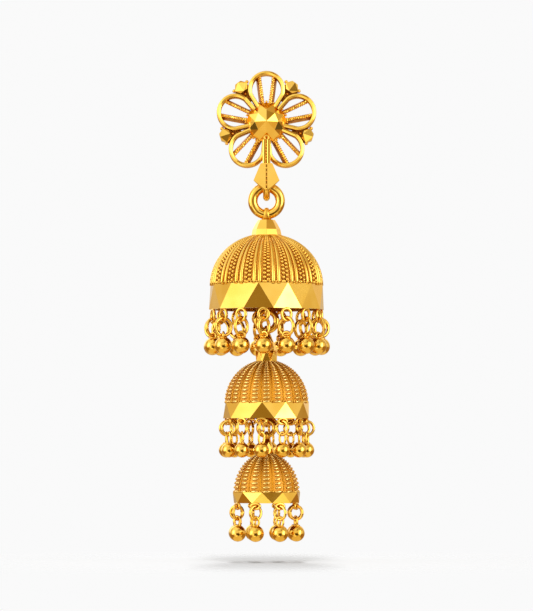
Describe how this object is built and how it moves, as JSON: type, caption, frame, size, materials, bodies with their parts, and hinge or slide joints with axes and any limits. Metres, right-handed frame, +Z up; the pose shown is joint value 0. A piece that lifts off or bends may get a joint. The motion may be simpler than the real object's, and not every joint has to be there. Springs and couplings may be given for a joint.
{
  "type": "jhumka earring",
  "caption": "Hanging gold earring: an openwork flower stud with an ear post carries ribbed bell domes one below another, each with a diamond-cut band and a fringe of small round beads.",
  "frame": {"origin": "where the ear post leaves the middle of the flower stud's flat back", "axes": "+Z up, along the hanging drop; -Y the front that is seen; +Y along the ear post, into the ear; +X to the viewer's right"},
  "size_m": [0.0157, 0.0201, 0.0567],
  "materials": {
    "gold": "polished 22 karat yellow gold, diamond-cut facets"
  },
  "bodies": {
    "stud": {"flower_stud": "gold", "ear_post": "gold"},
    "top_link": {"top_ring": "gold"},
    "large_tier": {"large_dome": "gold", "large_drop_01": "gold", "large_drop_02": "gold", "large_drop_03": "gold", "large_drop_04": "gold", "large_drop_05": "gold", "large_drop_06": "gold", "large_drop_07": "gold", "large_drop_08": "gold", "large_drop_09": "gold", "large_drop_10": "gold", "large_drop_11": "gold", "large_drop_12": "gold", "large_drop_13": "gold", "large_drop_14": "gold", "large_drop_15": "gold"},
    "middle_link": {"middle_ring": "gold"},
    "medium_tier": {"medium_dome": "gold", "medium_drop_01": "gold", "medium_drop_02": "gold", "medium_drop_03": "gold", "medium_drop_04": "gold", "medium_drop_05": "gold", "medium_drop_06": "gold", "medium_drop_07": "gold", "medium_drop_08": "gold", "medium_drop_09": "gold", "medium_drop_10": "gold", "medium_drop_11": "gold", "medium_drop_12": "gold"},
    "lower_link": {"lower_ring": "gold"},
    "small_tier": {"small_dome": "gold", "small_drop_01": "gold", "small_drop_02": "gold", "small_drop_03": "gold", "small_drop_04": "gold", "small_drop_05": "gold", "small_drop_06": "gold", "small_drop_07": "gold", "small_drop_08": "gold"}
  },
  "joints": [
    {"name": "drop_swing_sideways", "type": "hinge", "parent": "stud", "child": "top_link", "pos_m": [0, -0.0017, -0.00913], "axis": [0, 1, 0], "range_deg": [-70, 70]},
    {"name": "drop_swing_forward", "type": "hinge", "parent": "top_link", "child": "large_tier", "pos_m": [0, -0.0017, -0.01118], "axis": [1, 0, 0], "range_deg": [-90, 90]},
    {"name": "medium_swing_sideways", "type": "hinge", "parent": "large_tier", "child": "middle_link", "pos_m": [0, -0.0017, -0.02366], "axis": [0, 1, 0], "range_deg": [-18, 18]},
    {"name": "medium_swing_forward", "type": "hinge", "parent": "middle_link", "child": "medium_tier", "pos_m": [0, -0.0017, -0.0252], "axis": [1, 0, 0], "range_deg": [-18, 18]},
    {"name": "small_swing_sideways", "type": "hinge", "parent": "medium_tier", "child": "lower_link", "pos_m": [0, -0.0017, -0.03662], "axis": [0, 1, 0], "range_deg": [-14, 14]},
    {"name": "small_swing_forward", "type": "hinge", "parent": "lower_link", "child": "small_tier", "pos_m": [0, -0.0017, -0.03782], "axis": [1, 0, 0], "range_deg": [-14, 14]}
  ]
}
